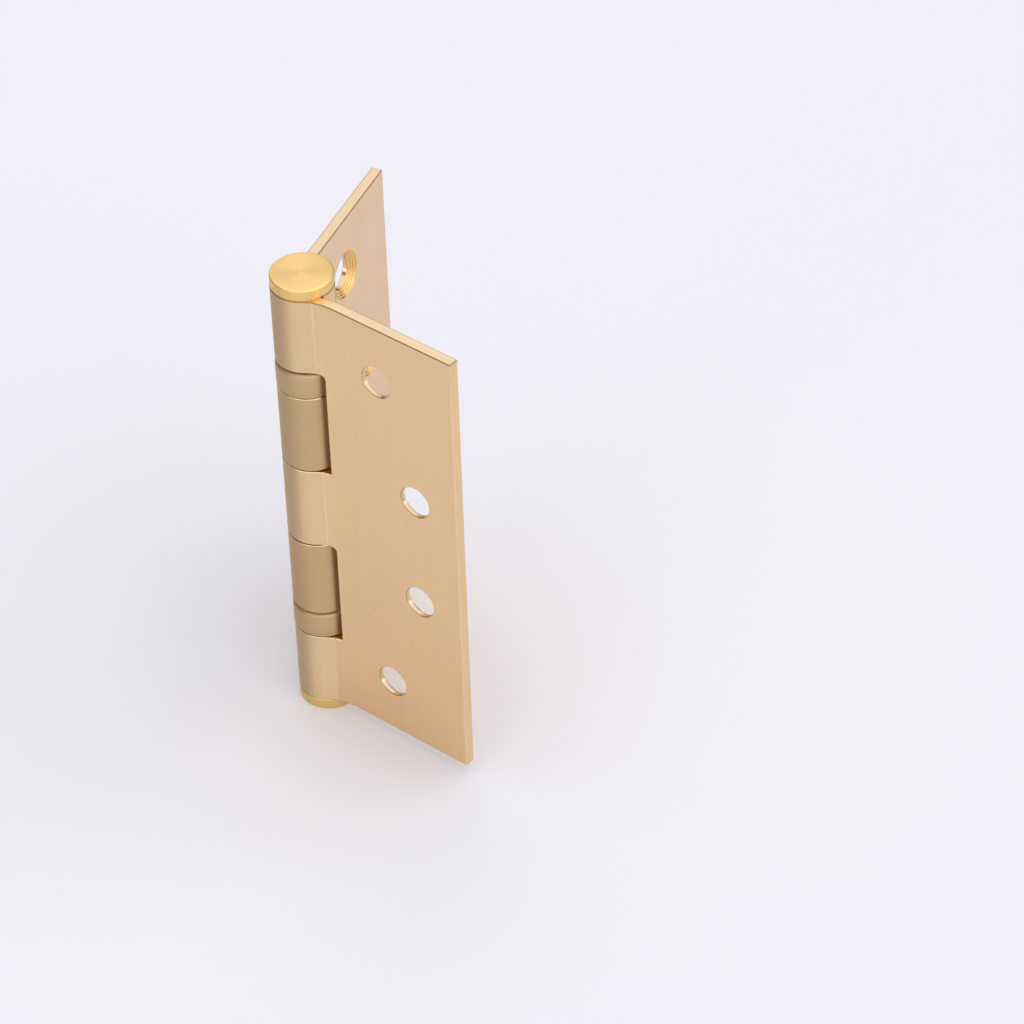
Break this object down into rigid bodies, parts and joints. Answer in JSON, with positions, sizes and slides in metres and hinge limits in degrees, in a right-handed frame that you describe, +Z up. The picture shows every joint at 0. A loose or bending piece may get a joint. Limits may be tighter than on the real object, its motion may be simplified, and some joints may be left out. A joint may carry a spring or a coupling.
{
  "type": "ball bearing butt hinge",
  "caption": "Satin brass butt hinge with square leaves, staggered countersunk screw holes, ball-bearing collars between the knuckles and flat button caps.",
  "frame": {"origin": "on the pin's axis, at the middle of the leaves' height", "axes": "+Z up along the pin, +X out along the frame leaf, +Y the way the frame leaf's screw heads face, so -Y points into the door frame"},
  "size_m": [0.051, 0.0428, 0.1066],
  "materials": {
    "leaf_brass": "satin, fine vertical brushing, lacquered",
    "cap_brass": "turned and brushed, brighter than the leaves",
    "shell_brass": "satin, drawn",
    "pin_steel": "ground",
    "bearing_steel": "hardened and polished",
    "cage_nylon": "moulded nylon"
  },
  "bodies": {
    "frame_leaf": {"three_knuckle_leaf": "leaf_brass", "hinge_pin": "pin_steel", "top_cap": "cap_brass", "bottom_cap": "cap_brass", "upper_bearing_shell": "shell_brass", "upper_bearing_upper_race": "bearing_steel", "lower_bearing_lower_race": "bearing_steel"},
    "door_leaf": {"two_knuckle_leaf": "leaf_brass", "upper_bearing_lower_race": "bearing_steel", "lower_bearing_shell": "shell_brass", "lower_bearing_upper_race": "bearing_steel"},
    "upper_ball_set": {"upper_bearing_cage": "cage_nylon", "upper_bearing_ball_1": "bearing_steel", "upper_bearing_ball_2": "bearing_steel", "upper_bearing_ball_3": "bearing_steel", "upper_bearing_ball_4": "bearing_steel", "upper_bearing_ball_5": "bearing_steel", "upper_bearing_ball_6": "bearing_steel", "upper_bearing_ball_7": "bearing_steel", "upper_bearing_ball_8": "bearing_steel", "upper_bearing_ball_9": "bearing_steel", "upper_bearing_ball_10": "bearing_steel"},
    "lower_ball_set": {"lower_bearing_cage": "cage_nylon", "lower_bearing_ball_1": "bearing_steel", "lower_bearing_ball_2": "bearing_steel", "lower_bearing_ball_3": "bearing_steel", "lower_bearing_ball_4": "bearing_steel", "lower_bearing_ball_5": "bearing_steel", "lower_bearing_ball_6": "bearing_steel", "lower_bearing_ball_7": "bearing_steel", "lower_bearing_ball_8": "bearing_steel", "lower_bearing_ball_9": "bearing_steel", "lower_bearing_ball_10": "bearing_steel"}
  },
  "joints": [
    {"name": "leaf_swing", "type": "hinge", "parent": "frame_leaf", "child": "door_leaf", "pos_m": [0, 0, 0], "axis": [0, 0, 1], "range_deg": [-105, 165]},
    {"name": "upper_bearing_roll", "type": "hinge", "parent": "frame_leaf", "child": "upper_ball_set", "pos_m": [0, 0, 0], "axis": [0, 0, 1], "range_deg": [-52.5, 82.5]},
    {"name": "lower_bearing_roll", "type": "hinge", "parent": "frame_leaf", "child": "lower_ball_set", "pos_m": [0, 0, 0], "axis": [0, 0, 1], "range_deg": [-52.5, 82.5]}
  ],
  "couplings": [
    {"joint": "upper_bearing_roll", "follows": "leaf_swing", "ratio": 0.5},
    {"joint": "lower_bearing_roll", "follows": "leaf_swing", "ratio": 0.5}
  ]
}
